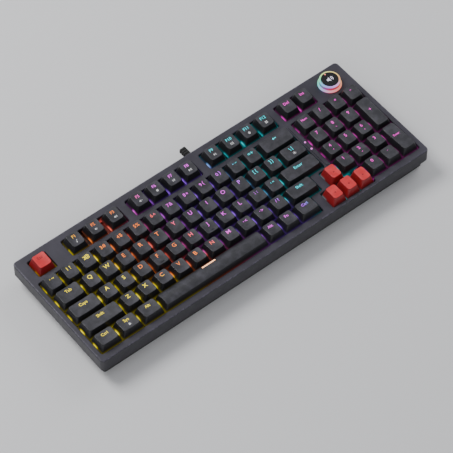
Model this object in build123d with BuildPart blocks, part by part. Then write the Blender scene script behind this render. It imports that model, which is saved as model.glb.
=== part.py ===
from build123d import *
from math import asin, cos, degrees, radians, sin
import os

os.makedirs("parts", exist_ok=True)

# A full-size mechanical keyboard, in millimetres. It lies flat: +X runs along the keys to the
# right, +Y to the rear, +Z up, and the desk is z = 0 under the middle of the whole part.
# Key places are in key units: u counts to the right from the left edge of the key block, and
# v counts towards the typist, with the number row centred on v = 1.

# ---------------------------------------------------------------- driving dimensions
pitch = 19.05
block_units = 19.4
front_row_edge = 5.5
rear_row_edge = -0.83
bezel_left = 6.0
bezel_right = 6.0
bezel_rear = 8.0
bezel_front = 8.0
corner_radius = 4.0
gland_out = 11.0
gland_z = 21.4
gland_size = (6.8, 5.4)
gland_flange = (8.6, 6.0)
gland_bore = 1.7
gland_grooves = 3
gland_groove_step = 2.6

case_length = block_units * pitch + bezel_left + bezel_right
case_depth = (front_row_edge - rear_row_edge) * pitch + bezel_front + bezel_rear
y_rear = (case_depth + gland_out) / 2 - gland_out
y_middle = y_rear - case_depth / 2

# heights above the desk
tray_bottom = 1.6
tray_floor_top = 4.0
frame_bottom = 12.0
tray_wall_top = 16.5
plate_top = 18.0
bezel_top = 27.0
board_top = plate_top - 5.0
board_thickness = 1.6
cap_bottom = plate_top + 6.2

# shells
frame_wall = 2.5
frame_skin = 2.2
frame_edge_radius = 1.1
tray_inset = 4.0
tray_wall = 2.0
plate_inset = 3.0
board_inset = 7.0
opening_margin = 0.6
opening_radius = 1.6
opening_chamfer = 0.5
lip_wall = 1.6
strip_width = 2.6
strip_rows = 3.0
strip_rise = 0.6
indicator_radius = 1.0
indicator_play = 0.05
indicator_bottom = bezel_top - 5.0
indicator_top = bezel_top + 0.8

# keycaps: (height in the middle of the top, tilt of the top towards the typist in degrees)
row_shape = {
    "function": (10.2, 5.0),
    "number": (9.9, 5.0),
    "upper": (9.3, 3.0),
    "home": (8.9, 0.0),
    "lower": (9.3, -4.0),
    "bottom": (9.5, -5.0),
    "arrow": (10.4, 0.0),
}
key_gap = 0.85
cap_taper_x = 5.4
cap_taper_y = 4.0
cap_wall = 1.4
cap_roof = 1.5
cap_base_radius = 1.0
cap_top_radius = 2.4
cap_edge_radius = 0.5
dish_depth = 0.5
crown_radius = 15.0
post_radius = 2.8
cross_length = 4.0
cross_width = 1.2
cross_play = 0.05
key_travel = 4.0

# switches
switch_body = 13.9
switch_flange = 14.4
switch_flange_height = 1.0
switch_top = plate_top + 6.4
switch_well = (7.4, 6.2)
slider_size = (7.0, 5.6)
slider_bottom = plate_top + 0.9
slider_top = cap_bottom + 0.1
switch_well_floor = board_top + 1.2
switch_cover_base = (13.0, 14.0)
switch_cover_top = (10.0, 10.0)
spring_radius = 2.1
spring_wall = 0.3
spring_seat = 0.1
spring_top = slider_top - 2.9
led_offset = 5.0
led_size = (3.4, 2.0)
led_height = 1.2
led_window = (4.4, 2.4)
cross_socket_depth = 3.8
cross_post_height = 3.6
stem_gap = 0.1

# stabilizers under the wide keys
stabilizer_reach = 11.94
space_reach = 50.0
stabilizer_top = plate_top + 4.0
stabilizer_size = (8.4, 9.4)
stabilizer_well = (6.2, 7.2)
stabilizer_slider = (5.6, 6.6)
stabilizer_slider_bottom = plate_top - 0.3
wire_radius = 0.8
wire_arm = 8.3
wire_side = 5.4
wire_height = 15.3
wire_front = 8.1

# knob
knob_radius = 10.3
knob_bottom = bezel_top + 2.0
knob_top = bezel_top + 6.8
knob_disc_radius = 8.7
knob_disc_recess = 1.2
knob_hollow_radius = 8.4
knob_hub_radius = 4.8
knob_hollow_depth = 2.0
ring_radius = 11.8
ring_bore_radius = 8.2
ring_seat_z = bezel_top - 1.0
knob_hole_radius = 7.6
encoder_size = 12.0
encoder_top = plate_top + 1.5
bush_radius = 4.5
bush_height = 4.5
shaft_radius = 3.0
shaft_play = 0.05
shaft_bottom = board_top + 3.0
shaft_top = knob_top - 2.4

# folding feet
foot_size = (26.4, 20.0, 3.0)
foot_spread = 125.0
foot_axis_z = 3.4
foot_axis_y = y_rear - 17.0
foot_pin_radius = 1.0
pocket_gap = 0.3


def key_x(u):
    return u * pitch - case_length / 2 + bezel_left


def key_y(v):
    return y_rear - bezel_rear - (v - rear_row_edge) * pitch


def place(u, v):
    return (key_x(u), key_y(v))


def finish(piece, name):
    """Label one finished piece and write it as its own STEP file."""
    piece.part.label = name
    export_step(piece.part, "parts/" + name + ".step")


# ---------------------------------------------------------------- key layout
# every key: (u, v, width in units, depth in units, row)
def key_run(first_u, v, count, row, step=1.0):
    return [(first_u + step * n, v, 1.0, 1.0, row) for n in range(count)]


function_v = rear_row_edge + 0.5
esc_u = 0.8
function_runs = [(2.77, 3, 1.15), (6.59, 4, 1.0), (11.12, 4, 1.08), (15.84, 2, 1.0)]
arrow_v = 5.2
up_u = 14.95
down_u = 15.09
arrow_width = 0.87
arrow_step = 0.87

letter_rows = [
    ("qwertyuiop", 2.0, 2.0, "upper"),
    ("asdfghjkl", 2.25, 3.0, "home"),
    ("zxcvbnm", 2.75, 4.0, "lower"),
]

key_groups = {
    "esc_key": key_run(esc_u, function_v, 1, "function"),
    "function_keys": [
        key
        for first_u, count, step in function_runs
        for key in key_run(first_u, function_v, count, "function", step)
    ],
    "number_keys": key_run(0.5, 1.0, 13, "number"),
    "backspace_key": [(14.0, 1.0, 2.0, 1.0, "number")],
    "punctuation_keys": key_run(12.0, 2.0, 2, "upper")
    + [(14.25, 2.0, 1.5, 1.0, "upper")]
    + key_run(11.25, 3.0, 2, "home")
    + key_run(9.75, 4.0, 3, "lower"),
    "enter_key": [(13.875, 3.0, 2.25, 1.0, "home")],
    "left_modifier_keys": [
        (0.75, 2.0, 1.5, 1.0, "upper"),
        (0.875, 3.0, 1.75, 1.0, "home"),
        (1.125, 4.0, 2.25, 1.0, "lower"),
        (0.625, 5.0, 1.25, 1.0, "bottom"),
        (1.875, 5.0, 1.25, 1.0, "bottom"),
        (3.125, 5.0, 1.25, 1.0, "bottom"),
    ],
    "right_modifier_keys": [(13.125, 4.0, 1.75, 1.0, "lower")]
    + key_run(10.5, 5.0, 2, "bottom")
    + [(12.625, 5.0, 1.25, 1.0, "bottom")],
    "space_bar": [(6.875, 5.0, 6.25, 1.0, "bottom")],
    "up_key": [(up_u, arrow_v - 1.0, arrow_width, 1.0, "arrow")],
    "left_key": [(down_u - arrow_step, arrow_v, arrow_width, 1.0, "arrow")],
    "down_key": [(down_u, arrow_v, arrow_width, 1.0, "arrow")],
    "right_key": [(down_u + arrow_step, arrow_v, arrow_width, 1.0, "arrow")],
    "numpad_keys": key_run(15.9, 1.0, 4, "number")
    + key_run(15.9, 2.0, 3, "upper")
    + key_run(15.9, 3.0, 3, "home")
    + key_run(15.9, 4.0, 3, "lower")
    + key_run(16.9, 5.0, 2, "bottom")
    + [(18.9, 2.5, 1.0, 2.0, "upper"), (18.9, 4.5, 1.0, 2.0, "lower")],
}
for letters, first_u, row_v, row_name in letter_rows:
    for n, letter in enumerate(letters):
        key_groups["key_" + letter] = [(first_u + n, row_v, 1.0, 1.0, row_name)]

all_keys = [key for keys in key_groups.values() for key in keys]


def stabilizer_offsets(width, depth):
    """Where a wide key's two outer stems stand, from its middle."""
    if width > 3:
        return [(-space_reach, 0), (space_reach, 0)]
    if width >= 2:
        return [(-stabilizer_reach, 0), (stabilizer_reach, 0)]
    if depth >= 2:
        return [(0, -stabilizer_reach), (0, stabilizer_reach)]
    return []


switch_places = [place(u, v) for u, v, _, _, _ in all_keys]
stabilizer_places = [
    (key_x(u) + dx, key_y(v) + dy)
    for u, v, width, depth, _ in all_keys
    for dx, dy in stabilizer_offsets(width, depth)
]
space_u, space_v = key_groups["space_bar"][0][:2]
knob_place = place(18.55, function_v)
gland_x = key_x(10.35)
indicator_places = [place(15.2, 1.8), place(15.2, 2.3)]
rear_screws = [(1.79, function_v), (5.83, function_v), (10.35, 0.0), (17.64, function_v)]
screw_spots = rear_screws + [(15.2, 1.1), (15.2, 3.2)]
standoff_spots = [(1.1, 1.5), (4.6, 1.5), (9.1, 1.5), (5.6, 3.5), (13.0, 2.5), (17.4, 2.5), (17.4, 4.5)]
screw_places = [place(u, v) for u, v in screw_spots]
standoff_places = [place(u, v) for u, v in standoff_spots]

# open areas of the top frame: (left u, right u, rear v, front v)
open_blocks = [
    (first_u - 0.5, first_u + (count - 1) * step + 0.5, function_v - 0.5, function_v + 0.5)
    for first_u, count, step in [(esc_u, 1, 1.0)] + function_runs
] + [
    (0.0, 15.0, 0.5, 3.5),
    (0.0, 14.0, 3.5, 4.5),
    (0.0, 13.25, 4.5, 5.5),
    (down_u - 1.5 * arrow_width, down_u + 1.5 * arrow_width, arrow_v - 0.5, arrow_v + 0.5),
    (up_u - arrow_width / 2, up_u + arrow_width / 2, arrow_v - 1.5, arrow_v - 0.5),
    (15.4, 19.4, 0.5, 5.5),
]

# ---------------------------------------------------------------- lower tray
tray_length = case_length - 2 * tray_inset
tray_depth = case_depth - 2 * tray_inset
tray_middle = (0, y_middle)
foot_places = [(-foot_spread, foot_axis_y), (foot_spread, foot_axis_y)]
pocket_size = (foot_size[0] + 2 * pocket_gap, foot_size[1] + 3.4)
pocket_top = foot_axis_z + foot_size[2] / 2 + pocket_gap
pocket_middle_y = foot_axis_y - pocket_size[1] / 2 + foot_size[2] / 2 + pocket_gap
pad_places = [
    (-150.0, y_middle - 55.0),
    (150.0, y_middle - 55.0),
    (-165.0, y_rear - 9.5),
    (165.0, y_rear - 9.5),
]
pad_size = (38.0, 8.0)
pad_recess = 0.8
standoff_radius = 3.0
screw_socket = 1.3
screw_socket_depth = 0.9
screw_head_radius = 2.5
screw_head_height = 1.6
screw_radius = 1.3
screw_tip = bezel_top - 4.0
screw_play = 0.05
boss_radius = 2.6

with BuildPart() as bottom_case:
    with BuildSketch(Plane.XY.offset(tray_bottom)):
        with Locations(tray_middle):
            RectangleRounded(tray_length, tray_depth, corner_radius - 1)
    extrude(amount=tray_wall_top - tray_bottom)
    chamfer(bottom_case.edges().group_by(Axis.Z)[0], 1.0)
    with BuildSketch(Plane.XY.offset(tray_floor_top)):
        with Locations(tray_middle):
            RectangleRounded(tray_length - 2 * tray_wall, tray_depth - 2 * tray_wall, corner_radius / 4)
    extrude(amount=tray_wall_top - tray_floor_top, mode=Mode.SUBTRACT)
    # posts under the circuit board, and taller bosses for the case screws
    with BuildSketch(Plane.XY.offset(tray_floor_top)):
        with Locations(*standoff_places):
            Circle(standoff_radius)
    extrude(amount=board_top - board_thickness - tray_floor_top)
    with BuildSketch(Plane.XY.offset(tray_floor_top)):
        with Locations(*screw_places):
            Circle(boss_radius + 0.4)
    extrude(amount=board_top + 0.5 - tray_floor_top)
    with BuildSketch(Plane.XY.offset(tray_bottom)):
        with Locations(*screw_places):
            Circle(screw_radius + 2 * screw_play)
    extrude(amount=board_top, mode=Mode.SUBTRACT)
    with BuildSketch(Plane.XY.offset(tray_bottom)):
        with Locations(*screw_places):
            Circle(screw_head_radius + 0.2)
    extrude(amount=screw_head_height, mode=Mode.SUBTRACT)
    # roofed pockets for the two folding feet
    for foot_x, _ in foot_places:
        with BuildSketch(Plane.XY.offset(tray_floor_top - 0.5)):
            with Locations((foot_x, pocket_middle_y)):
                Rectangle(pocket_size[0] + 4.0, pocket_size[1] + 3.0)
        extrude(amount=pocket_top + 1.4 - tray_floor_top + 0.5)
        with BuildSketch(Plane.XY.offset(tray_bottom)):
            with Locations((foot_x, pocket_middle_y)):
                Rectangle(*pocket_size)
        extrude(amount=pocket_top - tray_bottom, mode=Mode.SUBTRACT)
        with BuildSketch(Plane(origin=(foot_x, foot_axis_y, foot_axis_z), z_dir=(1, 0, 0))):
            Circle(foot_pin_radius + 0.05)
        extrude(amount=foot_size[0] / 2 + 1.5, both=True, mode=Mode.SUBTRACT)
    # shallow seats for the rubber pads
    with BuildSketch(Plane.XY.offset(tray_bottom)):
        with Locations(*pad_places):
            SlotOverall(*pad_size)
    extrude(amount=pad_recess, mode=Mode.SUBTRACT)
finish(bottom_case, "bottom_case")

with BuildPart() as rubber_feet:
    with BuildSketch():
        with Locations(*pad_places):
            SlotOverall(*pad_size)
    extrude(amount=tray_bottom + pad_recess)
    chamfer(rubber_feet.edges().group_by(Axis.Z)[0], 0.4)
finish(rubber_feet, "rubber_feet")

with BuildPart() as case_screws:
    with BuildSketch(Plane.XY.offset(tray_bottom)):
        with Locations(*screw_places):
            Circle(screw_head_radius)
    extrude(amount=screw_head_height)
    with BuildSketch(Plane.XY.offset(tray_bottom)):
        with Locations(*screw_places):
            RegularPolygon(screw_socket, 6)
    extrude(amount=screw_socket_depth, mode=Mode.SUBTRACT)
    with BuildSketch(Plane.XY.offset(tray_bottom + screw_head_height)):
        with Locations(*screw_places):
            Circle(screw_radius)
    extrude(amount=screw_tip - tray_bottom - screw_head_height)
finish(case_screws, "case_screws")

# ---------------------------------------------------------------- top frame
def is_opening_rim(edge):
    """True for the edges round the openings on the bezel's top, and not for the outer edge."""
    middle = edge.center()
    inside_x = abs(middle.X) < case_length / 2 - 3.0
    inside_y = abs(middle.Y - y_middle) < case_depth / 2 - 3.0
    return abs(middle.Z - bezel_top) < 0.01 and inside_x and inside_y


with BuildPart() as top_frame:
    with BuildSketch(Plane.XY.offset(frame_bottom)):
        with Locations(tray_middle):
            RectangleRounded(case_length, case_depth, corner_radius)
    extrude(amount=bezel_top - frame_bottom)
    fillet(top_frame.edges().group_by(Axis.Z)[-1], frame_edge_radius)
    chamfer(top_frame.edges().group_by(Axis.Z)[0], 0.6)
    with BuildSketch(Plane.XY.offset(frame_bottom)):
        with Locations(tray_middle):
            RectangleRounded(
                case_length - 2 * frame_wall, case_depth - 2 * frame_wall, corner_radius - frame_wall
            )
    extrude(amount=bezel_top - frame_skin - frame_bottom, mode=Mode.SUBTRACT)
    # lips that drop from the openings onto the switch plate
    with BuildSketch(Plane.XY.offset(plate_top)) as openings:
        for left, right, rear, front in open_blocks:
            with Locations(((key_x(left) + key_x(right)) / 2, (key_y(rear) + key_y(front)) / 2)):
                Rectangle(
                    (right - left) * pitch + 2 * opening_margin,
                    (front - rear) * pitch + 2 * opening_margin,
                )
        fillet(openings.vertices(), opening_radius)
    with BuildSketch(Plane.XY.offset(plate_top)):
        add(openings.sketch)
        offset(amount=lip_wall, kind=Kind.ARC)
    extrude(amount=bezel_top - 1.0 - plate_top)
    # screw bosses reach down through the plate to the board
    with BuildSketch(Plane.XY.offset(board_top + 0.6)):
        with Locations(*screw_places):
            Circle(boss_radius)
    extrude(amount=bezel_top - 1.0 - board_top - 0.6)
    with BuildSketch(Plane.XY.offset(plate_top - 1)):
        add(openings.sketch)
    extrude(amount=bezel_top + 2 - plate_top, mode=Mode.SUBTRACT)
    chamfer(top_frame.edges().filter_by(is_opening_rim), opening_chamfer)
    # raised strip between the main keys and the number pad
    with BuildSketch(Plane.XY.offset(bezel_top - 0.5)):
        with Locations(place(15.2, 2.05)):
            SlotOverall(strip_rows * pitch, strip_width, rotation=90)
    extrude(amount=0.5 + strip_rise)
    with BuildSketch(Plane.XY.offset(frame_bottom)):
        with Locations(*screw_places):
            Circle(screw_radius + screw_play)
    extrude(amount=screw_tip + 0.5 - frame_bottom, mode=Mode.SUBTRACT)
    # seats of the indicator lenses, the knob's light ring and the cable gland
    with BuildSketch(Plane.XY.offset(plate_top)):
        with Locations(*indicator_places):
            Circle(indicator_radius)
    extrude(amount=bezel_top, mode=Mode.SUBTRACT)
    with BuildSketch(Plane.XY.offset(ring_seat_z)):
        with Locations(knob_place):
            Circle(ring_radius)
    extrude(amount=frame_skin, mode=Mode.SUBTRACT)
    with BuildSketch(Plane.XY.offset(frame_bottom)):
        with Locations(knob_place):
            Circle(knob_hole_radius)
    extrude(amount=bezel_top, mode=Mode.SUBTRACT)
    with BuildSketch(Plane(origin=(gland_x, y_rear - 4.0, gland_z), x_dir=(1, 0, 0), z_dir=(0, 1, 0))):
        RectangleRounded(gland_size[0] + 0.2, gland_size[1] + 0.2, 1.4)
    extrude(amount=frame_wall + 3.5, mode=Mode.SUBTRACT)
finish(top_frame, "top_frame")

with BuildPart() as indicator_lenses:
    with BuildSketch(Plane.XY.offset(indicator_bottom)):
        with Locations(*indicator_places):
            Circle(indicator_radius - indicator_play)
    extrude(amount=indicator_top - indicator_bottom)
finish(indicator_lenses, "indicator_lenses")

# ---------------------------------------------------------------- plate and circuit board
wire_rest_tilt = asin(key_travel / wire_arm)
space_wire_y = key_y(space_v) - wire_front

with BuildPart() as switch_plate:
    with BuildSketch(Plane.XY.offset(tray_wall_top)) as plate_outline:
        with Locations(tray_middle):
            RectangleRounded(case_length - 2 * plate_inset, case_depth - 2 * plate_inset, 2.0)
        with Locations(*switch_places):
            Rectangle(switch_body + 0.1, switch_body + 0.1, mode=Mode.SUBTRACT)
        with Locations(*stabilizer_places):
            Rectangle(stabilizer_size[0] + 0.6, stabilizer_size[1] + 0.6, mode=Mode.SUBTRACT)
        # room for the two arms of the space bar's wire
        for side in (-1, 1):
            with Locations((key_x(space_u) + side * (space_reach + wire_side), key_y(space_v) - 3.5)):
                Rectangle(2 * wire_radius + 1.0, 10.4, mode=Mode.SUBTRACT)
        with Locations(*screw_places):
            Circle(boss_radius + 0.4, mode=Mode.SUBTRACT)
        with Locations(knob_place):
            Rectangle(encoder_size + 0.8, encoder_size + 0.8, mode=Mode.SUBTRACT)
        with Locations((gland_x, y_rear - bezel_rear)):
            Circle(2.2, mode=Mode.SUBTRACT)
    extrude(amount=plate_top - tray_wall_top)
finish(switch_plate, "switch_plate")

with BuildPart() as circuit_board:
    with BuildSketch(Plane.XY.offset(board_top - board_thickness)):
        with Locations(tray_middle):
            RectangleRounded(case_length - 2 * board_inset, case_depth - 2 * board_inset, 2.0)
        with Locations(*screw_places):
            Circle(boss_radius + 0.8, mode=Mode.SUBTRACT)
    extrude(amount=board_thickness)
finish(circuit_board, "circuit_board")

# ---------------------------------------------------------------- switches
with BuildPart() as housing:
    with BuildSketch(Plane.XY.offset(board_top)):
        Rectangle(switch_body, switch_body)
    extrude(amount=plate_top - board_top)
    with BuildSketch(Plane.XY.offset(plate_top)):
        Rectangle(switch_flange, switch_flange)
    extrude(amount=switch_flange_height)
    with BuildSketch(Plane.XY.offset(plate_top + switch_flange_height)):
        Rectangle(*switch_cover_base)
    with BuildSketch(Plane.XY.offset(switch_top)):
        Rectangle(*switch_cover_top)
    loft()
    with BuildSketch(Plane.XY.offset(switch_well_floor)):
        Rectangle(*switch_well)
    extrude(amount=switch_top - board_top, mode=Mode.SUBTRACT)
    with BuildSketch(Plane.XY.offset(board_top)):
        with Locations((0, led_offset)):
            Rectangle(*led_window)
    extrude(amount=switch_top - board_top, mode=Mode.SUBTRACT)

with BuildPart() as switch_housings:
    with Locations(*switch_places):
        add(housing.part)
finish(switch_housings, "switch_housings")

with BuildPart() as switch_springs:
    with BuildSketch(Plane.XY.offset(switch_well_floor + spring_seat)):
        with Locations(*switch_places):
            Circle(spring_radius)
            Circle(spring_radius - spring_wall, mode=Mode.SUBTRACT)
    extrude(amount=spring_top - switch_well_floor - spring_seat)
finish(switch_springs, "switch_springs")

with BuildPart() as switch_leds:
    with BuildSketch(Plane.XY.offset(board_top)):
        with Locations(*[(x, y + led_offset) for x, y in switch_places]):
            Rectangle(*led_size)
    extrude(amount=led_height)
finish(switch_leds, "switch_leds")

# ---------------------------------------------------------------- stabilizers
space_ends = [(key_x(space_u) - space_reach, -1), (key_x(space_u) + space_reach, 1)]

with BuildPart() as stabilizer_housings:
    with BuildSketch(Plane.XY.offset(board_top)):
        with Locations(*stabilizer_places):
            Rectangle(*stabilizer_size)
    extrude(amount=stabilizer_top - board_top)
    # clips that hold the space bar's wire under the plate
    for end_x, _ in space_ends:
        with BuildSketch(Plane.XY.offset(board_top)):
            with Locations((end_x, space_wire_y + 1.5)):
                Rectangle(stabilizer_size[0], 5.4)
        extrude(amount=tray_wall_top - 0.05 - board_top)
        with BuildSketch(Plane(origin=(end_x, space_wire_y, wire_height), z_dir=(1, 0, 0))):
            Circle(wire_radius + 0.05)
        extrude(amount=stabilizer_size[0], both=True, mode=Mode.SUBTRACT)
    with BuildSketch(Plane.XY.offset(board_top + 0.5)):
        with Locations(*stabilizer_places):
            Rectangle(*stabilizer_well)
    extrude(amount=stabilizer_top - board_top, mode=Mode.SUBTRACT)
    # slots that let the wire's hooks reach the sliders
    for end_x, side in space_ends:
        with BuildSketch(Plane.XY.offset(wire_height - wire_radius - 0.3)):
            with Locations((end_x + side * stabilizer_size[0] / 2, key_y(space_v) - 0.3)):
                Rectangle(stabilizer_size[0] - stabilizer_well[0] + 1.0, 3.4)
        extrude(amount=stabilizer_top - wire_height + 2.0, mode=Mode.SUBTRACT)
finish(stabilizer_housings, "stabilizer_housings")

# the wire at rest: its arms rise to the rear by wire_rest_tilt
arm_rise = wire_arm * sin(wire_rest_tilt)
arm_run = wire_arm * cos(wire_rest_tilt)
hook_y = space_wire_y + arm_run
hook_z = wire_height + arm_rise
arm_x = space_reach + wire_side
hook_length = wire_side - 1.2
hook_slot_y = (arm_run + wire_arm) / 2 - wire_front

with BuildPart() as space_stabilizer_wire:
    with BuildLine():
        FilletPolyline(
            (key_x(space_u) - arm_x + hook_length, hook_y, hook_z),
            (key_x(space_u) - arm_x, hook_y, hook_z),
            (key_x(space_u) - arm_x, space_wire_y, wire_height),
            (key_x(space_u) + arm_x, space_wire_y, wire_height),
            (key_x(space_u) + arm_x, hook_y, hook_z),
            (key_x(space_u) + arm_x - hook_length, hook_y, hook_z),
            radius=0.9,
        )
    with BuildSketch(Plane(origin=(key_x(space_u) - arm_x + hook_length, hook_y, hook_z), z_dir=(-1, 0, 0))):
        Circle(wire_radius)
    sweep()
finish(space_stabilizer_wire, "space_stabilizer_wire")


# ---------------------------------------------------------------- keys
def keycap(width, depth, row, stems):
    """A hollow keycap standing on cap_bottom, with one cross socket for each stem."""
    height, tilt_degrees = row_shape[row]
    tilt = radians(tilt_degrees)
    base = (width * pitch - key_gap, depth * pitch - key_gap)
    crown = width > 3
    top = (base[0] - cap_taper_x, base[1] - cap_taper_y)
    top_middle = (0, 0, cap_bottom + height)
    along = (0, cos(tilt), sin(tilt))
    ceiling = height - cap_roof - 1.1
    shrink = ceiling / height
    with BuildPart() as cap:
        with BuildSketch(Plane.XY.offset(cap_bottom)):
            RectangleRounded(*base, cap_base_radius)
        with BuildSketch(Plane(origin=top_middle, x_dir=(1, 0, 0), z_dir=(0, -sin(tilt), cos(tilt)))):
            RectangleRounded(*top, cap_top_radius)
        loft()
        if crown:
            with BuildSketch(Plane(origin=top_middle, x_dir=along, z_dir=(1, 0, 0))):
                with Locations((0, -crown_radius)):
                    Circle(crown_radius)
            extrude(amount=base[0], both=True, mode=Mode.INTERSECT)
        else:
            dish_radius = (top[0] ** 2 / 4 + dish_depth**2) / (2 * dish_depth)
            with BuildSketch(Plane(origin=top_middle, x_dir=(1, 0, 0), z_dir=along)):
                with Locations((0, dish_depth - dish_radius)):
                    Circle(dish_radius)
            extrude(amount=base[1], both=True, mode=Mode.SUBTRACT)
        fillet(cap.faces().sort_by(Axis.Z)[-1].edges(), cap_edge_radius)
        with BuildSketch(Plane.XY.offset(cap_bottom)):
            RectangleRounded(base[0] - 2 * cap_wall, base[1] - 2 * cap_wall, 0.6)
        with BuildSketch(Plane.XY.offset(cap_bottom + ceiling)):
            RectangleRounded(
                base[0] - cap_taper_x * shrink - 2 * cap_wall,
                base[1] - cap_taper_y * shrink - 2 * cap_wall,
                1.0,
            )
        loft(mode=Mode.SUBTRACT)
        with BuildSketch(Plane.XY.offset(slider_top)):
            with Locations(*stems):
                Circle(post_radius)
        extrude(amount=ceiling + 0.4)
        with BuildSketch(Plane.XY.offset(slider_top)):
            with Locations(*stems):
                Rectangle(cross_length + 2 * cross_play, cross_width + 2 * cross_play)
                Rectangle(cross_width + 2 * cross_play, cross_length + 2 * cross_play)
        extrude(amount=cross_socket_depth, mode=Mode.SUBTRACT)
    return cap.part


def slider(size, bottom):
    """The moving stem of a switch or stabilizer, with the cross that carries the keycap."""
    with BuildPart() as stem:
        with BuildSketch(Plane.XY.offset(bottom)):
            Rectangle(*size)
        extrude(amount=slider_top - stem_gap - bottom)
        with BuildSketch(Plane.XY.offset(slider_top - stem_gap)):
            Rectangle(cross_length, cross_width)
            Rectangle(cross_width, cross_length)
        extrude(amount=cross_post_height)
        with BuildSketch(Plane.XY.offset(bottom)):
            Circle(spring_radius + 0.2)
        extrude(amount=spring_top + stem_gap - bottom, mode=Mode.SUBTRACT)
    return stem.part


switch_slider = slider(slider_size, slider_bottom)
plain_stabilizer_slider = slider(stabilizer_slider, stabilizer_slider_bottom)

with BuildPart() as hooked_slider:
    add(plain_stabilizer_slider)
    with BuildSketch(Plane(origin=(0, hook_slot_y, hook_z), x_dir=(0, 1, 0), z_dir=(1, 0, 0))):
        SlotOverall(3.4, 2.1)
    extrude(amount=stabilizer_slider[0], both=True, mode=Mode.SUBTRACT)

cap_shapes = {}
for name, keys in key_groups.items():
    with BuildPart() as group:
        for u, v, width, depth, row in keys:
            offsets = stabilizer_offsets(width, depth)
            if (width, depth, row) not in cap_shapes:
                cap_shapes[width, depth, row] = keycap(width, depth, row, [(0, 0)] + offsets)
            end_slider = hooked_slider.part if width > 3 else plain_stabilizer_slider
            with Locations(place(u, v)):
                add(cap_shapes[width, depth, row])
                add(switch_slider)
            for dx, dy in offsets:
                with Locations((key_x(u) + dx, key_y(v) + dy)):
                    add(end_slider)
            # the home keys carry a small bar for the finger tips
            if name in ("key_f", "key_j"):
                with BuildSketch(Plane.XY.offset(cap_bottom + row_shape[row][0] - 1.2)):
                    with Locations((key_x(u), key_y(v) - 4.6)):
                        SlotOverall(4.0, 0.9)
                extrude(amount=1.1)
    finish(group, name)

# ---------------------------------------------------------------- knob
with BuildPart() as knob_light_ring:
    with BuildSketch(Plane.XY.offset(ring_seat_z)):
        with Locations(knob_place):
            Circle(ring_radius - 0.1)
            Circle(ring_bore_radius, mode=Mode.SUBTRACT)
    extrude(amount=2.2)
    fillet(knob_light_ring.edges().group_by(Axis.Z)[-1].sort_by(SortBy.LENGTH)[-1], 0.6)
finish(knob_light_ring, "knob_light_ring")

with BuildPart() as rotary_encoder:
    with BuildSketch(Plane.XY.offset(board_top)):
        with Locations(knob_place):
            Rectangle(encoder_size, encoder_size)
    extrude(amount=encoder_top - board_top)
    with BuildSketch(Plane.XY.offset(encoder_top)):
        with Locations(knob_place):
            Circle(bush_radius)
    extrude(amount=bush_height)
    with BuildSketch(Plane.XY.offset(shaft_bottom - 1.0)):
        with Locations(knob_place):
            Circle(shaft_radius + shaft_play)
    extrude(amount=encoder_top + bush_height - board_top, mode=Mode.SUBTRACT)
finish(rotary_encoder, "rotary_encoder")

with BuildPart() as encoder_shaft:
    with BuildSketch(Plane.XY.offset(shaft_bottom)):
        with Locations(knob_place):
            Circle(shaft_radius)
    extrude(amount=shaft_top - shaft_bottom)
    chamfer(encoder_shaft.edges().group_by(Axis.Z)[-1], 0.5)
finish(encoder_shaft, "encoder_shaft")

with BuildPart() as knob:
    with BuildSketch(Plane.XY.offset(knob_bottom)):
        with Locations(knob_place):
            Circle(knob_radius)
    extrude(amount=knob_top - knob_bottom)
    fillet(knob.edges().group_by(Axis.Z)[-1], 0.9)
    chamfer(knob.edges().group_by(Axis.Z)[0], 0.3)
    with BuildSketch(Plane.XY.offset(knob_bottom)):
        with Locations(knob_place):
            Circle(knob_hollow_radius)
            Circle(knob_hub_radius, mode=Mode.SUBTRACT)
    extrude(amount=knob_hollow_depth, mode=Mode.SUBTRACT)
    with BuildSketch(Plane.XY.offset(knob_bottom)):
        with Locations(knob_place):
            Circle(shaft_radius + shaft_play)
    extrude(amount=shaft_top + 0.1 - knob_bottom, mode=Mode.SUBTRACT)
    with BuildSketch(Plane.XY.offset(knob_top - knob_disc_recess)):
        with Locations(knob_place):
            Circle(knob_disc_radius + 0.1)
    extrude(amount=2 * knob_disc_recess, mode=Mode.SUBTRACT)
finish(knob, "knob")

with BuildPart() as knob_top_disc:
    with BuildSketch(Plane.XY.offset(knob_top - knob_disc_recess)):
        with Locations(knob_place):
            Circle(knob_disc_radius)
    extrude(amount=knob_disc_recess + 0.2)
    fillet(knob_top_disc.edges().group_by(Axis.Z)[-1], 0.4)
finish(knob_top_disc, "knob_top_disc")

# ---------------------------------------------------------------- cable gland
gland_plane = Plane(origin=(gland_x, y_rear - frame_wall - 1.4, gland_z), x_dir=(1, 0, 0), z_dir=(0, 1, 0))
with BuildPart() as cable_gland:
    with BuildSketch(gland_plane):
        RectangleRounded(*gland_flange, 1.4)
    extrude(amount=1.2)
    with BuildSketch(gland_plane.offset(1.2)):
        RectangleRounded(*gland_size, 1.3)
    extrude(amount=gland_out + frame_wall + 0.2)
    chamfer(cable_gland.faces().sort_by(Axis.Y)[-1].edges(), 0.6)
    for n in range(gland_grooves):
        with BuildSketch(gland_plane.offset(6.4 + gland_groove_step * n)):
            RectangleRounded(gland_size[0] + 1.2, gland_size[1] + 1.2, 1.3)
            RectangleRounded(gland_size[0] - 1.4, gland_size[1] - 1.2, 1.0, mode=Mode.SUBTRACT)
        extrude(amount=1.1, mode=Mode.SUBTRACT)
    with BuildSketch(gland_plane):
        Circle(gland_bore)
    extrude(amount=gland_out + 2 * frame_wall, mode=Mode.SUBTRACT)
finish(cable_gland, "cable_gland")

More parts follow.
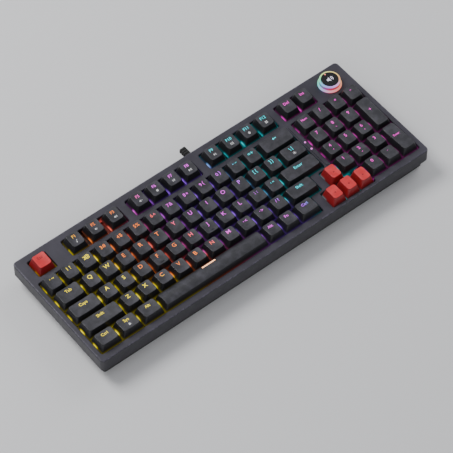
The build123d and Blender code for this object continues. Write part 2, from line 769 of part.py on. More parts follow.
# ---------------------------------------------------------------- folding feet
for name, (foot_x, foot_y) in zip(["left_foot", "right_foot"], foot_places):
    foot_thickness = foot_size[2]
    with BuildPart() as foot:
        with BuildSketch(Plane(origin=(foot_x, foot_y, foot_axis_z), x_dir=(0, 1, 0), z_dir=(1, 0, 0))):
            with Locations((-foot_size[1] / 2 + foot_thickness / 4, 0)):
                Rectangle(foot_size[1] - foot_thickness / 2, foot_thickness)
            Circle(foot_thickness / 2)
        extrude(amount=foot_size[0] / 2, both=True)
        with BuildSketch(Plane.XY.offset(foot_axis_z)):
            with Locations((foot_x, foot_y - foot_size[1] / 2)):
                RectangleRounded(foot_size[0] - 8.0, foot_size[1] - 9.0, 1.5)
        extrude(amount=foot_thickness, mode=Mode.SUBTRACT)
        with BuildSketch(Plane(origin=(foot_x, foot_y, foot_axis_z), z_dir=(1, 0, 0))):
            Circle(foot_pin_radius)
        extrude(amount=foot_size[0] / 2 + 1.3, both=True)
    finish(foot, name)

print("wire rest tilt", round(degrees(wire_rest_tilt), 3))
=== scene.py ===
import math

import bmesh
import bpy
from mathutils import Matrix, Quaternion, Vector
from mathutils.bvhtree import BVHTree


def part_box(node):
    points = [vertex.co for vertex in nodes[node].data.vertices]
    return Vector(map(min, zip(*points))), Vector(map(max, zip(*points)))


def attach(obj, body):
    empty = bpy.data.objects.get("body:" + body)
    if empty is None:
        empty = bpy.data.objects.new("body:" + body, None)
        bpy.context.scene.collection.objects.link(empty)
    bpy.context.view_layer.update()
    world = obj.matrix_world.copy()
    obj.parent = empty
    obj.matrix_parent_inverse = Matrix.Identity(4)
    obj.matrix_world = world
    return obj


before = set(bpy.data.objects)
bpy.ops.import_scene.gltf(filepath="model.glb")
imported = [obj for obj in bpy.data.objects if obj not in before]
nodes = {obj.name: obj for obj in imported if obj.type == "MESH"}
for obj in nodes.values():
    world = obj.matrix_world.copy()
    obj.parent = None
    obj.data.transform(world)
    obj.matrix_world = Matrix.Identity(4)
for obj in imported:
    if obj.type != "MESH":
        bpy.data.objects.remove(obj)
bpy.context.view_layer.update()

# Looks of a backlit mechanical keyboard. Metres, in the frame of the CAD model: +X along the keys,
# +Y to the rear, +Z up. Key places are in key units, u to the right and v towards the typist.
MM = 0.001
RING_PROUD = 1.2 * MM
RIM_DEPTH = 1.7 * MM
CAP_RISE = 6.2 * MM
FRAME_LIP = 3.0 * MM
FUNCTION_ROW = -0.33
Q_UNITS = (2.0, 2.0)


def middle(node):
    low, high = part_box(node)
    return (low + high) / 2


Q_KEY = middle("key_q")
PITCH = middle("key_w").x - Q_KEY.x
FRAME_LOW, FRAME_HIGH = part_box("top_frame")
FRAME_MIDDLE = (FRAME_LOW + FRAME_HIGH) / 2
BEZEL_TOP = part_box("knob_light_ring")[1].z - RING_PROUD
PLATE_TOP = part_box("switch_plate")[1].z
CAP_BOTTOM = PLATE_TOP + CAP_RISE
KNOB = middle("knob")
RIM_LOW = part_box("knob")[1].z - RIM_DEPTH


def key_place(u, v):
    """Middle of the key at u, v in the frame's X and Y."""
    return Q_KEY.x + (u - Q_UNITS[0]) * PITCH, Q_KEY.y - (v - Q_UNITS[1]) * PITCH


# ---------------------------------------------------------------- shader helpers
class Shader:
    """One procedural material: short calls that add nodes and return sockets."""

    def __init__(self, name, color, roughness, metallic=0.0, coat=0.0, emission=0.0):
        self.material = bpy.data.materials.new(name)
        self.material.use_nodes = True
        self.nodes = self.material.node_tree.nodes
        self.links = self.material.node_tree.links
        self.bsdf = self.nodes["Principled BSDF"]
        self.set("Base Color", (*color, 1.0))
        self.set("Roughness", roughness)
        self.set("Metallic", metallic)
        self.set("Coat Weight", coat)
        self.set("Emission Strength", emission)

    def set(self, name, value):
        """A plain number or colour goes on the shader's own socket, and a socket is linked."""
        socket = self.bsdf.inputs[name]
        if isinstance(value, bpy.types.NodeSocket):
            self.links.new(value, socket)
        else:
            socket.default_value = value

    def node(self, kind, inputs=(), **settings):
        made = self.nodes.new(kind)
        for key, value in settings.items():
            setattr(made, key, value)
        for key, value in dict(inputs).items():
            if isinstance(value, bpy.types.NodeSocket):
                self.links.new(value, made.inputs[key])
            else:
                made.inputs[key].default_value = value
        return made

    def place(self):
        return self.node("ShaderNodeTexCoord").outputs["Object"]

    def axes(self):
        return self.node("ShaderNodeSeparateXYZ", {"Vector": self.place()}).outputs

    def math(self, operation, a, b=0.0, clamp=False):
        return self.node("ShaderNodeMath", {0: a, 1: b}, operation=operation, use_clamp=clamp).outputs[0]

    def noise(self, size, detail=3.0, roughness=0.55):
        """Noise with features of about size metres."""
        inputs = {"Vector": self.place(), "Scale": 1 / size, "Detail": detail, "Roughness": roughness}
        return self.node("ShaderNodeTexNoise", inputs).outputs["Fac"]

    def fade(self, value, low, high):
        """0 below low, 1 above high, smooth between; low may be the larger."""
        inputs = {"Value": value, "From Min": low, "From Max": high, "To Min": 0.0, "To Max": 1.0}
        made = self.node("ShaderNodeMapRange", inputs, interpolation_type="SMOOTHSTEP", clamp=True)
        return made.outputs["Result"]

    def between(self, value, low, high):
        inputs = {"Value": value, "From Min": 0.0, "From Max": 1.0, "To Min": low, "To Max": high}
        return self.node("ShaderNodeMapRange", inputs).outputs["Result"]

    def ramp(self, value, stops):
        made = self.node("ShaderNodeValToRGB", {"Fac": value})
        elements = made.color_ramp.elements
        for n, (position, color) in enumerate(stops):
            element = elements[n] if n < 2 else elements.new(position)
            element.position = position
            element.color = (*color, 1.0)
        return made.outputs["Color"]

    def mix(self, factor, a, b):
        made = self.node("ShaderNodeMix", {"Factor": factor}, data_type="RGBA")
        for index, value in ((6, a), (7, b)):
            if isinstance(value, bpy.types.NodeSocket):
                self.links.new(value, made.inputs[index])
            else:
                made.inputs[index].default_value = (*value, 1.0)
        return made.outputs[2]

    def bump(self, height, distance, strength=1.0):
        inputs = {"Height": height, "Distance": distance, "Strength": strength}
        self.set("Normal", self.node("ShaderNodeBump", inputs).outputs["Normal"])


# ---------------------------------------------------------------- backlight colours
YELLOW = (1.0, 0.80, 0.0)
ORANGE = (1.0, 0.22, 0.02)
CORAL = (1.0, 0.10, 0.10)
MAGENTA = (0.78, 0.07, 0.82)
VIOLET = (0.34, 0.10, 1.0)
CYAN = (0.0, 0.70, 0.78)
PINK = (0.88, 0.03, 0.60)
LIGHT_SLANT = 0.35
LIGHT_SPAN = 19.5
SLANT_ENDS = (9.0, 11.0)
ARROW_ROWS = (-1.6, -2.4)
ARROW_SHIFT = 1.2
LEGEND_LIGHT = [(0.0, YELLOW), (3.3, YELLOW), (3.9, ORANGE), (6.0, ORANGE), (6.9, CORAL), (7.9, MAGENTA)]
LEGEND_LIGHT += [(10.6, MAGENTA), (11.4, VIOLET), (11.9, CYAN), (15.0, CYAN), (15.25, PINK), (19.4, PINK)]
GLOW_LIGHT = [(0.0, YELLOW), (3.3, YELLOW), (4.1, ORANGE), (5.8, CORAL), (7.0, MAGENTA), (8.2, VIOLET)]
GLOW_LIGHT += [(11.0, VIOLET), (11.9, CYAN), (15.0, CYAN), (15.25, PINK), (19.4, PINK)]


def backlight(shader, stops):
    """The backlight's colour at each place: bands that lean with the rows, upright at the right."""
    x, y, _ = shader.axes()
    across = shader.math("DIVIDE", shader.math("SUBTRACT", x, Q_KEY.x), PITCH)
    back = shader.math("DIVIDE", shader.math("SUBTRACT", y, Q_KEY.y), PITCH)
    slant = shader.between(shader.fade(across, *SLANT_ENDS), LIGHT_SLANT, 0.0)
    units = shader.math("ADD", shader.math("ADD", across, Q_UNITS[0]), shader.math("MULTIPLY", back, slant))
    # the light under the arrow keys is still that of the typing block
    arrows = shader.between(shader.fade(back, *ARROW_ROWS), 0.0, ARROW_SHIFT)
    units = shader.math("SUBTRACT", units, arrows)
    return shader.ramp(
        shader.math("DIVIDE", units, LIGHT_SPAN), [(at / LIGHT_SPAN, color) for at, color in stops]
    )


def edge_distance(shader):
    """How far each place lies inside the top frame's outline."""
    place = shader.axes()
    half = (FRAME_HIGH - FRAME_LOW) / 2
    inside = []
    for axis in (0, 1):
        away = shader.math("ABSOLUTE", shader.math("SUBTRACT", place[axis], FRAME_MIDDLE[axis]))
        inside.append(shader.math("SUBTRACT", half[axis], away))
    return shader.math("MINIMUM", *inside)


# ---------------------------------------------------------------- materials
def facing(shader):
    """The surface's own direction, as its three parts."""
    normal = shader.node("ShaderNodeNewGeometry").outputs["Normal"]
    return shader.node("ShaderNodeSeparateXYZ", {"Vector": normal}).outputs


def pockets(shader, size=7 * MM, start=0.46, full=0.66):
    """Mask for painted light escaping between the caps: bright spots a few millimetres wide, dark elsewhere.
    """
    return shader.fade(shader.noise(size, 1.0), start, full)


# whole rows keep the sum positive; SPOT_AHEAD centres the painted glow spots a little behind each cap's
# middle
WHOLE_ROWS = 10
SPOT_AHEAD = 0.42


def keycap_material(name, color, worn, glow):
    """Fine-grained moulded caps, their tops paler than their sides by painted shade; painted backlight glow
    on the low skirts beside each diode.
    """
    s = Shader(name, color, 0.45, coat=0.06)
    _, y, z = s.axes()
    toward_x, _, up = facing(s)
    blotch = s.fade(s.noise(8 * MM, 5.0, 0.6), 0.36, 0.70)
    # painted shade: faces that don't face up get a darker copy of the colour, the tops keep it
    top = s.fade(up, 0.75, 0.97)
    painted_side_shade = tuple(0.42 * c for c in color)
    s.set("Base Color", s.mix(top, painted_side_shade, s.mix(blotch, color, worn)))
    s.set("Roughness", s.between(s.noise(5 * MM, 4.0), 0.34, 0.58))
    s.bump(s.noise(0.30 * MM, 2.0), 0.035 * MM, 0.6)
    # painted backlight glow: strong low on the skirts, in spots beside each diode, patchy
    low = s.fade(z, CAP_BOTTOM + 3.2 * MM, CAP_BOTTOM)
    rows_back = s.math("DIVIDE", s.math("SUBTRACT", y, Q_KEY.y), PITCH)
    row = s.math("FRACT", s.math("ADD", rows_back, WHOLE_ROWS + SPOT_AHEAD))
    spot = s.fade(s.math("ABSOLUTE", s.math("SUBTRACT", row, 0.5)), 0.25, 0.08)
    beside = s.math("MULTIPLY", s.fade(s.math("ABSOLUTE", toward_x), 0.4, 0.8), spot)
    uneven = s.between(pockets(s, 14 * MM, 0.40, 0.60), 0.25, 1.0)
    lit = s.between(s.math("MULTIPLY", beside, uneven), 0.05, 1.0)
    s.set("Emission Color", backlight(s, GLOW_LIGHT))
    s.set("Emission Strength", s.math("MULTIPLY", s.math("MULTIPLY", low, lit), glow))
    return s.material


def case_material(name, color, glow):
    """Satin plastic with grain, scuffed along the top edges; painted shade darkens the walls, and painted
    backlight glow lights the walls of the openings.
    """
    s = Shader(name, color, 0.45, coat=0.05)
    z = s.axes()[2]
    up = facing(s)[2]
    pale = tuple(min(1.0, 3.0 * c) for c in color)
    cloud = s.fade(s.noise(30 * MM, 5.0), 0.35, 0.70)
    base = s.mix(cloud, color, tuple(1.45 * c for c in color))
    # painted shade: faces that don't face up are darker
    base = s.mix(s.fade(up, 0.75, 0.25), base, tuple(0.55 * c for c in color))
    near_edge = s.math("MULTIPLY", s.fade(edge_distance(s), 2.2 * MM, 0.4 * MM), s.fade(up, 0.3, 0.75))
    scuffs = s.fade(s.noise(2.0 * MM, 6.0, 0.7), 0.46, 0.62)
    s.set("Base Color", s.mix(s.math("MULTIPLY", near_edge, scuffs), base, pale))
    s.set("Roughness", s.between(s.noise(6 * MM, 4.0), 0.34, 0.62))
    s.bump(s.math("ADD", s.noise(0.35 * MM, 2.0), s.math("MULTIPLY", s.noise(3 * MM), 0.6)), 0.04 * MM, 0.6)
    if glow:
        # painted backlight glow on the walls of the openings, in patches
        inside = s.fade(edge_distance(s), FRAME_LIP, FRAME_LIP + 0.4 * MM)
        low = s.fade(z, BEZEL_TOP - 1.2 * MM, PLATE_TOP)
        uneven = s.math("MULTIPLY", pockets(s, 12 * MM), inside)
        s.set("Emission Color", backlight(s, GLOW_LIGHT))
        s.set("Emission Strength", s.math("MULTIPLY", s.math("MULTIPLY", low, uneven), glow))
    return s.material


def glowing_material(name, color, strength, stops=GLOW_LIGHT, dim=0.12):
    """A dark part glowing in the backlight's colour: painted diode light on the plate and switch housings,
    the own glow of the diodes and legends.
    """
    s = Shader(name, color, 0.4)
    s.set("Roughness", s.between(s.noise(4 * MM), 0.3, 0.5))
    s.set("Emission Color", backlight(s, stops))
    s.set("Emission Strength", s.between(pockets(s), dim * strength, strength))
    return s.material


def lit_material(name, color, strength):
    """A small diffuser in one colour of light, a little brighter in its middle stretches."""
    s = Shader(name, (0.4, 0.4, 0.4), 0.3)
    s.set("Emission Color", (*color, 1.0))
    s.set("Emission Strength", s.between(s.noise(3 * MM), 0.75 * strength, 1.2 * strength))
    return s.material


def plain_material(name, color, roughness, metallic=0.0, coat=0.0, grain=0.4 * MM, spread=0.12):
    """Any other solid part: a little grain and uneven gloss."""
    s = Shader(name, color, roughness, metallic, coat)
    s.set("Base Color", s.mix(s.fade(s.noise(7 * MM, 4.0), 0.3, 0.75), color, tuple(1.25 * c for c in color)))
    s.set("Roughness", s.between(s.noise(5 * MM, 3.0), roughness - spread / 2, roughness + spread / 2))
    s.bump(s.noise(grain, 2.0), 0.02 * MM, 0.4)
    return s.material


# the colours of light once round, anticlockwise from +X: painted light on the knob's rim and on the wall
# below the rim, and the top of the base ring
RIM_LIGHT = [(0.0, (1.0, 0.66, 0.18)), (0.14, (1.0, 0.90, 0.30)), (0.27, (0.75, 1.0, 0.25))]
RIM_LIGHT += [(0.39, (0.15, 1.0, 0.45)), (0.50, (0.20, 0.60, 1.0)), (0.64, (0.48, 0.28, 1.0))]
RIM_LIGHT += [(0.77, (0.85, 0.42, 0.90)), (0.89, (1.0, 0.42, 0.20)), (1.0, (1.0, 0.66, 0.18))]
WALL_LIGHT = [(0.0, (1.0, 0.20, 0.05)), (0.2, (0.5, 0.6, 0.1)), (0.39, (0.02, 0.60, 0.42))]
WALL_LIGHT += [(0.48, (0.04, 0.35, 0.60)), (0.56, (0.45, 0.05, 0.50)), (0.64, (0.90, 0.03, 0.14))]
WALL_LIGHT += [(0.8, (1.0, 0.03, 0.02)), (0.9, (1.0, 0.05, 0.03)), (1.0, (1.0, 0.20, 0.05))]
BASE_LIGHT = [(0.0, (1.0, 0.62, 0.25)), (0.25, (0.75, 1.0, 0.35)), (0.39, (0.12, 0.9, 0.65))]
BASE_LIGHT += [(0.52, (0.40, 0.55, 1.0)), (0.64, (1.0, 0.36, 0.48)), (0.8, (1.0, 0.28, 0.20))]
BASE_LIGHT += [(0.92, (1.0, 0.40, 0.16)), (1.0, (1.0, 0.62, 0.25))]


def ring_material(name, low_light, high_light, level, strength, fade, ribs=0):
    """Dark plastic glowing all round, the light ring's own glow and the painted light on the knob: one set of
    colours below level, another above; grip ribs.
    """
    s = Shader(name, (0.05, 0.05, 0.055), 0.25, coat=0.2)
    x, y, z = s.axes()
    angle = s.math("ARCTAN2", s.math("SUBTRACT", y, KNOB.y), s.math("SUBTRACT", x, KNOB.x))
    turn = s.math("FRACT", s.math("ADD", s.math("DIVIDE", angle, math.tau), 1.0))
    upper = s.fade(z, level, level + fade)
    s.set("Emission Color", s.mix(upper, s.ramp(turn, low_light), s.ramp(turn, high_light)))
    s.set("Emission Strength", s.between(upper, 0.55 * strength, strength))
    s.set("Roughness", s.between(s.noise(3 * MM), 0.2, 0.34))
    if ribs:
        s.bump(s.math("SINE", s.math("MULTIPLY", angle, ribs)), 0.12 * MM, 0.8)
    return s.material


CHARCOAL = (0.028, 0.028, 0.034)
CASE = (0.034, 0.031, 0.044)
RED = (0.66, 0.022, 0.028)

materials = {
    "keycap": keycap_material("keycap_charcoal", CHARCOAL, (0.058, 0.056, 0.070), 1.6),
    "red": keycap_material("keycap_red", RED, (0.78, 0.045, 0.05), 0.2),
    "case": case_material("case_top", CASE, 0.5),
    "tray": case_material("case_tray", (0.022, 0.022, 0.026), 0.0),
    # painted backlight glow on the plate and on the switch and stabilizer housings
    "plate": glowing_material("plate_painted_glow", (0.012, 0.012, 0.014), 0.12),
    "switch": glowing_material("switch_painted_glow", (0.025, 0.025, 0.028), 0.25),
    "led": glowing_material("diode_lit", (0.8, 0.8, 0.8), 3.0, dim=0.8),
    "legend": glowing_material("legend_lit", (0.02, 0.02, 0.02), 2.1, LEGEND_LIGHT, dim=0.85),
    "bar_light": lit_material("bar_light", (1.0, 0.40, 0.11), 2.8),
    "tick_light": lit_material("tick_light", (1.0, 0.10, 0.02), 1.4),
    "icon_light": lit_material("icon_light", (0.80, 0.78, 1.0), 1.1),
    "board": plain_material("board_black", (0.010, 0.016, 0.013), 0.35),
    "steel": plain_material("steel_wire", (0.55, 0.55, 0.56), 0.3, metallic=1.0),
    "screw": plain_material("screw_black", (0.09, 0.09, 0.10), 0.35, metallic=1.0),
    "rubber": plain_material("rubber_black", (0.018, 0.018, 0.018), 0.75),
    "disc": plain_material("knob_gloss_black", (0.006, 0.006, 0.008), 0.08, coat=0.8, spread=0.04),
    "ring": ring_material("light_ring", WALL_LIGHT, BASE_LIGHT, BEZEL_TOP + 0.2 * MM, 1.1, fade=0.4 * MM),
    # painted light on the dark knob's wall and rim
    "knob": ring_material("knob_painted_glow", WALL_LIGHT, RIM_LIGHT, RIM_LOW, 1.15, fade=0.6 * MM, ribs=72),
}

NODE_MATERIALS = {
    "top_frame": "case",
    "bottom_case": "tray",
    "left_foot": "tray",
    "right_foot": "tray",
    "switch_plate": "plate",
    "circuit_board": "board",
    "switch_housings": "switch",
    "stabilizer_housings": "switch",
    "rotary_encoder": "board",
    "switch_springs": "steel",
    "space_stabilizer_wire": "steel",
    "encoder_shaft": "steel",
    "switch_leds": "led",
    "indicator_lenses": "legend",
    "rubber_feet": "rubber",
    "cable_gland": "rubber",
    "case_screws": "screw",
    "knob_light_ring": "ring",
    "knob": "knob",
    "knob_top_disc": "disc",
}
RED_KEYS = ("esc_key", "up_key", "left_key", "down_key", "right_key")

for name, piece in nodes.items():
    kind = NODE_MATERIALS.get(name, "red" if name in RED_KEYS else "keycap")
    piece.data.materials.clear()
    piece.data.materials.append(materials[kind])

# ---------------------------------------------------------------- legends
LEGEND_HALF = 0.10 * MM
LEGEND_PROUD = 0.05 * MM
CAPITAL_SHARE = 0.69
REAR_LINE = 2.9 * MM
FRONT_LINE = -2.7 * MM
LETTER, DIGIT, WORD, SMALL = 4.0 * MM, 3.4 * MM, 3.0 * MM, 2.3 * MM
ICON, WIDE_ICON, TIP = 3.0 * MM, 3.2 * MM, 1.8 * MM

glyph_store = {}


def text_solid(text, height):
    """(corners, faces) of a thin solid text, its middle at the origin and its capitals this high."""
    if (text, height) not in glyph_store:
        curve = bpy.data.curves.new("glyph", "FONT")
        curve.body = text
        curve.size = height / CAPITAL_SHARE
        curve.extrude = LEGEND_HALF
        curve.offset = 0.02 * MM
        curve.resolution_u = 3
        holder = bpy.data.objects.new("glyph", curve)
        bpy.context.scene.collection.objects.link(holder)
        mesh = bpy.data.meshes.new_from_object(holder.evaluated_get(bpy.context.evaluated_depsgraph_get()))
        corners = [v.co.copy() for v in mesh.vertices]
        faces = [tuple(p.vertices) for p in mesh.polygons]
        low = Vector([min(c[n] for c in corners) for n in range(3)])
        high = Vector([max(c[n] for c in corners) for n in range(3)])
        shift = (low + high) / 2
        if len(text) > 1 or text.isalnum():
            shift.y = height / 2
        glyph_store[text, height] = ([c - shift for c in corners], faces)
        bpy.data.objects.remove(holder)
        bpy.data.meshes.remove(mesh)
        bpy.data.curves.remove(curve)
    return glyph_store[text, height]


def outline_solid(outlines):
    """(corners, faces) of thin solids, one for each closed outline of (x, y) points."""
    corners, faces = [], []
    for outline in outlines:
        first, count = len(corners), len(outline)
        corners += [Vector((x, y, -LEGEND_HALF)) for x, y in outline]
        corners += [Vector((x, y, LEGEND_HALF)) for x, y in outline]
        faces.append(tuple(first + n for n in reversed(range(count))))
        faces.append(tuple(first + count + n for n in range(count)))
        for n in range(count):
            after = (n + 1) % count
            faces.append((first + n, first + after, first + count + after, first + count + n))
    return corners, faces


def box_outline(x, y, width, height):
    return [
        (x - width / 2, y - height / 2),
        (x + width / 2, y - height / 2),
        (x + width / 2, y + height / 2),
        (x - width / 2, y + height / 2),
    ]


def round_outline(x, y, radius, steps=14):
    turns = [math.tau * n / steps for n in range(steps)]
    return [(x + radius * math.cos(t), y + radius * math.sin(t)) for t in turns]


def arc_outline(x, y, radius, width, start, end, steps=7):
    """A bent bar about (x, y) from start to end degrees."""
    turns = [math.radians(start + (end - start) * n / steps) for n in range(steps + 1)]
    outer = [(x + (radius + width / 2) * math.cos(t), y + (radius + width / 2) * math.sin(t)) for t in turns]
    inner = [(x + (radius - width / 2) * math.cos(t), y + (radius - width / 2) * math.sin(t)) for t in turns]
    return outer + inner[::-1]


def frame_outlines(x, y, width, height, bar):
    """The four butted bars of an open rectangle."""
    return [
        box_outline(x, y + (height - bar) / 2, width, bar),
        box_outline(x, y - (height - bar) / 2, width, bar),
        box_outline(x - (width - bar) / 2, y, bar, height - 2 * bar),
        box_outline(x + (width - bar) / 2, y, bar, height - 2 * bar),
    ]


# icons in half sizes: 1 is half the icon's stated size
SPEAKER = [(-1.0, -0.35), (-0.55, -0.35), (0.0, -0.85), (0.0, 0.85), (-0.55, 0.35), (-1.0, 0.35)]
NEAR_WAVE = arc_outline(0.1, 0, 0.5, 0.2, -50, 50)
SUN_RAYS = 8
sun_turns = [math.tau * n / SUN_RAYS for n in range(SUN_RAYS)]
ARROW_LEFT = [(-1.3, 0.0), (-0.4, 0.8), (-0.4, 0.2), (1.3, 0.2), (1.3, -0.2), (-0.4, -0.2), (-0.4, -0.8)]
icons = {
    "note": [
        round_outline(-0.35, -0.6, 0.4),
        box_outline(0, 0.25, 0.2, 1.5),
        box_outline(0.35, 0.8, 0.6, 0.3),
    ],
    "quiet": [SPEAKER, NEAR_WAVE],
    "loud": [SPEAKER, NEAR_WAVE, arc_outline(0.1, 0, 0.95, 0.2, -50, 50)],
    "mute": [SPEAKER, box_outline(0.75, 0.0, 0.9, 0.22)],
    "stop": [box_outline(0, 0, 1.4, 1.4)],
    "back": [[(-0.5, 0), (0.7, -0.8), (0.7, 0.8)], box_outline(-0.75, 0, 0.28, 1.6)],
    "play": [[(-0.9, -0.8), (0.3, 0), (-0.9, 0.8)]] + [box_outline(x, 0, 0.26, 1.6) for x in (0.6, 1.05)],
    "next": [[(0.5, 0), (-0.7, 0.8), (-0.7, -0.8)], box_outline(0.75, 0, 0.28, 1.6)],
    "mail": frame_outlines(0, 0, 2.1, 1.5, 0.25) + [[(-0.8, 0.4), (0.0, -0.25), (0.8, 0.4), (0.0, 0.1)]],
    "home": [[(-1.0, 0.0), (1.0, 0.0), (0.0, 0.95)], box_outline(0, -0.45, 1.2, 0.8)],
    "grid": [box_outline(x, y, 0.7, 0.7) for x in (-0.5, 0.5) for y in (-0.5, 0.5)],
    "lock": [box_outline(0, -0.35, 1.3, 1.0), arc_outline(0, 0.2, 0.42, 0.24, 0, 180)],
    "sun": [round_outline(0, 0, 0.45)]
    + [round_outline(0.9 * math.cos(t), 0.9 * math.sin(t), 0.17, SUN_RAYS) for t in sun_turns],
    "arrow_left": [ARROW_LEFT],
    "tip_up": [[(-0.6, -0.4), (0.6, -0.4), (0.0, 0.6)]],
    "tip_down": [[(0.6, 0.4), (-0.6, 0.4), (0.0, -0.6)]],
    "tip_left": [[(0.4, -0.6), (0.4, 0.6), (-0.6, 0.0)]],
    "tip_right": [[(-0.4, 0.6), (-0.4, -0.6), (0.6, 0.0)]],
}


def icon_solid(name, size):
    return outline_solid([[(x * size / 2, y * size / 2) for x, y in outline] for outline in icons[name]])


class Marks:
    """All the marks on one CAD node, laid on its surface and kept as one mesh."""

    def __init__(self, node, palette):
        self.node = node
        self.palette = palette
        self.mesh = bmesh.new()
        host = nodes[node].data
        self.surface = BVHTree.FromPolygons(
            [v.co for v in host.vertices], [tuple(p.vertices) for p in host.polygons]
        )

    def lay(self, solid, x, y, slot=0):
        corners, faces = solid
        made = []
        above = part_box(self.node)[1].z + 0.01
        for corner in corners:
            spot = Vector((x + corner.x, y + corner.y, above))
            hit = self.surface.ray_cast(spot, Vector((0, 0, -1)))[0]
            height = LEGEND_PROUD if corner.z > 0 else LEGEND_PROUD - 2 * LEGEND_HALF
            made.append(self.mesh.verts.new((spot.x, spot.y, hit.z + height)))
        for face in faces:
            self.mesh.faces.new([made[n] for n in face]).material_index = slot

    def finish(self, name, body, slot):
        bmesh.ops.remove_doubles(self.mesh, verts=self.mesh.verts, dist=1e-7)
        bmesh.ops.recalc_face_normals(self.mesh, faces=self.mesh.faces)
        mesh = bpy.data.meshes.new(name)
        self.mesh.to_mesh(mesh)
        self.mesh.free()
        for kind in self.palette:
            mesh.materials.append(materials[kind])
        piece = bpy.data.objects.new(name, mesh)
        bpy.context.scene.collection.objects.link(piece)
        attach(piece, body)
        return piece


materials["white_mark"] = plain_material("white_mark", (0.75, 0.75, 0.76), 0.4)
materials["dark_mark"] = plain_material("dark_red_mark", (0.20, 0.012, 0.014), 0.5)

# marks: node -> [(u, v, [(text or icon, size, across, back, palette slot)])]
layout = {}


def key_marks(node, u, v, *marks):
    layout.setdefault(node, []).append((u, v, marks))


for letters, first_u, v in (("QWERTYUIOP", 2.0, 2.0), ("ASDFGHJKL", 2.25, 3.0), ("ZXCVBNM", 2.75, 4.0)):
    for n, letter in enumerate(letters):
        key_marks("key_" + letter.lower(), first_u + n, v, (letter, LETTER, 0, REAR_LINE, 0))

for n, (digit, sign) in enumerate(zip("`1234567890-=", "~!@#$%^&*()_+")):
    pair = ((digit, DIGIT, -1.5 * MM, REAR_LINE, 0), (sign, DIGIT, 1.6 * MM, REAR_LINE, 0))
    key_marks("number_keys", 0.5 + n, 1.0, *pair)

for u, v, plain, shifted in (
    (12.0, 2.0, "[", "{"), (13.0, 2.0, "]", "}"), (14.25, 2.0, "\\", "|"), (11.25, 3.0, ";", ":"),
    (12.25, 3.0, "'", '"'), (9.75, 4.0, ",", "<"), (10.75, 4.0, ".", ">"), (11.75, 4.0, "/", "?"),
):
    pair = ((plain, DIGIT, -1.3 * MM, REAR_LINE, 0), (shifted, DIGIT, 1.3 * MM, REAR_LINE, 0))
    extra = (("sun", WIDE_ICON, 0, FRONT_LINE, 1),) if plain == "\\" else ()
    key_marks("punctuation_keys", u, v, *pair, *extra)

for node, u, v, word in (
    ("left_modifier_keys", 0.75, 2.0, "Tab"), ("left_modifier_keys", 0.875, 3.0, "Caps"),
    ("left_modifier_keys", 1.125, 4.0, "Shift"), ("left_modifier_keys", 0.625, 5.0, "Ctrl"),
    ("left_modifier_keys", 1.875, 5.0, "Sys"), ("left_modifier_keys", 3.125, 5.0, "Alt"),
    ("right_modifier_keys", 13.125, 4.0, "Shift"), ("right_modifier_keys", 10.5, 5.0, "Alt"),
    ("right_modifier_keys", 11.5, 5.0, "Fn"), ("right_modifier_keys", 12.625, 5.0, "Ctrl"),
    ("enter_key", 13.875, 3.0, "Enter"),
):
    extra = (("lock", ICON, 0, FRONT_LINE, 1),) if word == "Sys" else ()
    key_marks(node, u, v, (word, WORD, 0, REAR_LINE, 0), *extra)
key_marks("backspace_key", 14.0, 1.0, ("arrow_left", DIGIT, 0, REAR_LINE, 0))
key_marks("esc_key", 0.8, FUNCTION_ROW, ("Esc", WORD, 0, REAR_LINE, 0))
for node, u, v, tip in (
    ("up_key", 14.95, 4.2, "tip_up"), ("left_key", 14.22, 5.2, "tip_left"),
    ("down_key", 15.09, 5.2, "tip_down"), ("right_key", 15.96, 5.2, "tip_right"),
):
    key_marks(node, u, v, (tip, WIDE_ICON, 0, 0.4 * FRONT_LINE, 0))

# groups of function keys: first u, how many, step
FUNCTION_GROUPS = ((2.77, 3, 1.15), (6.59, 4, 1.0), (11.12, 4, 1.08))
function_u = [first + step * n for first, count, step in FUNCTION_GROUPS for n in range(count)]
function_name = ["F%d" % n for n in (1, 2, 3, *range(5, 13))]
function_icon = ["note", "quiet", "loud", "mute", "stop", "back", "play", "next", "mail", "home", "grid"]
for u, word, icon in zip(function_u, function_name, function_icon):
    marks = ((word, WORD, 0, REAR_LINE, 0), (icon, ICON, 0, FRONT_LINE, 1))
    key_marks("function_keys", u, FUNCTION_ROW, *marks)
for u, word in ((15.84, "Del"), (16.84, "Ins")):
    key_marks("function_keys", u, FUNCTION_ROW, (word, WORD, 0, REAR_LINE, 0))

NUMPAD_U = 15.9
numpad = {1.0: ("Num", "/", "*", "-"), 2.0: "789", 3.0: "456", 4.0: "123", 5.0: (None, "0", ".")}
tips = {"8": "tip_up", "4": "tip_left", "6": "tip_right", "2": "tip_down"}
for v, row in numpad.items():
    for n, word in enumerate(row):
        if word:
            size = SMALL if word == "Num" else DIGIT
            extra = ((tips[word], TIP, 0, FRONT_LINE, 0),) if word in tips else ()
            key_marks("numpad_keys", NUMPAD_U + n, v, (word, size, 0, REAR_LINE, 0), *extra)
key_marks("numpad_keys", NUMPAD_U + 3, 2.5, ("+", DIGIT, 0, REAR_LINE, 0))
key_marks("numpad_keys", NUMPAD_U + 3, 4.5, ("Enter", SMALL, 0, REAR_LINE, 0))

for node, keys in layout.items():
    palette = ("dark_mark",) if node in RED_KEYS else ("legend", "white_mark")
    marks = Marks(node, palette)
    for u, v, parts in keys:
        x, y = key_place(u, v)
        for word, size, across, back, slot in parts:
            solid = icon_solid(word, size) if word in icons else text_solid(word, size)
            marks.lay(solid, x + across, y + back, slot)
    marks.finish("legends_" + node, node, "red_keycap" if node in RED_KEYS else "led_lens")

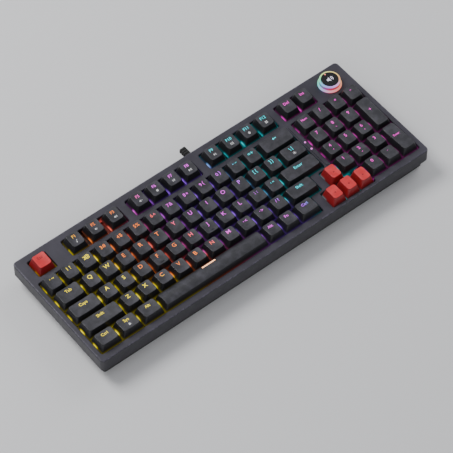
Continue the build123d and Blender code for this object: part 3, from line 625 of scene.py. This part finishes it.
# a lit bar along the rear edge of the space bar, and the marks on the knob's disc
SPACE_U, SPACE_V = 6.875, 5.0
BAR_LENGTH, BAR_WIDTH, BAR_BACK = 15.0 * MM, 1.6 * MM, 5.4 * MM
marks = Marks("space_bar", ("bar_light",))
bar_x, bar_y = key_place(SPACE_U, SPACE_V)
marks.lay(outline_solid([box_outline(0, 0, BAR_LENGTH, BAR_WIDTH)]), bar_x, bar_y + BAR_BACK)
marks.finish("space_bar_light", "space_bar", "led_lens")

ICON_SHARE = 0.72
TICK_WIDTH, TICK_LENGTH, TICK_INSET = 1.0 * MM, 1.7 * MM, 1.5 * MM
DISC_RADIUS = (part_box("knob_top_disc")[1].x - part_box("knob_top_disc")[0].x) / 2
marks = Marks("knob_top_disc", ("icon_light", "tick_light"))
marks.lay(icon_solid("loud", ICON_SHARE * DISC_RADIUS), KNOB.x, KNOB.y)
tick = outline_solid([box_outline(0, 0, TICK_WIDTH, TICK_LENGTH)])
marks.lay(tick, KNOB.x, KNOB.y + DISC_RADIUS - TICK_INSET, 1)
marks.finish("knob_marks", "knob", "led_lens")

# ---------------------------------------------------------------- floor, light and camera
FLOOR_REACH = 6.0
floor_mesh = bpy.data.meshes.new("floor")
floor_outline = box_outline(0, 0, 2 * FLOOR_REACH, 2 * FLOOR_REACH)
floor_mesh.from_pydata([(x, y, 0) for x, y in floor_outline], [], [(0, 1, 2, 3)])
floor_mesh.materials.append(Shader("floor_pale", (0.80, 0.80, 0.81), 0.6).material)
floor = bpy.data.objects.new("floor", floor_mesh)
bpy.context.scene.collection.objects.link(floor)

# soft discs of light aimed at the origin: name, place, size in metres, power in watts
LIGHTS = (
    ("key_light", (-0.5, 1.1, 1.5), 1.0, 26.0),
    ("fill_light", (-1.4, -1.2, 1.2), 1.6, 12.0),
    ("side_light", (1.5, 0.2, 1.0), 1.2, 8.0),
)
for name, place, size, power in LIGHTS:
    light = bpy.data.lights.new(name, "AREA")
    light.shape = "DISK"
    light.size = size
    light.energy = power
    lamp = bpy.data.objects.new(name, light)
    lamp.location = place
    lamp.rotation_euler = (-Vector(place)).to_track_quat("-Z", "Y").to_euler()
    bpy.context.scene.collection.objects.link(lamp)

world = bpy.data.worlds.new("studio")
world.use_nodes = True
world.node_tree.nodes["Background"].inputs["Color"].default_value = (0.85, 0.87, 0.92, 1.0)
world.node_tree.nodes["Background"].inputs["Strength"].default_value = 0.35
bpy.context.scene.world = world

CAMERA_TARGET = Vector((*key_place(8.864, 3.570), 33.2 * MM))
CAMERA_AZIMUTH = math.radians(-38.3)
CAMERA_ELEVATION = math.radians(53.9)
CAMERA_ROLL = math.radians(-0.2)
CAMERA_DISTANCE = 2.219
CAMERA_LENS = 193.8

toward_camera = Vector((
    math.sin(CAMERA_AZIMUTH) * math.cos(CAMERA_ELEVATION),
    -math.cos(CAMERA_AZIMUTH) * math.cos(CAMERA_ELEVATION),
    math.sin(CAMERA_ELEVATION),
))
camera_data = bpy.data.cameras.new("camera")
camera_data.lens = CAMERA_LENS
camera_data.sensor_width = 36.0
camera_data.clip_end = 50.0
camera = bpy.data.objects.new("camera", camera_data)
camera.location = CAMERA_TARGET + toward_camera * CAMERA_DISTANCE
camera.rotation_mode = "QUATERNION"
camera.rotation_quaternion = (-toward_camera).to_track_quat("-Z", "Y")
camera.rotation_quaternion.rotate(Quaternion(toward_camera, CAMERA_ROLL))
bpy.context.scene.collection.objects.link(camera)
bpy.context.scene.camera = camera

# ---------------------------------------------------------------- final scene update
bpy.context.view_layer.update()
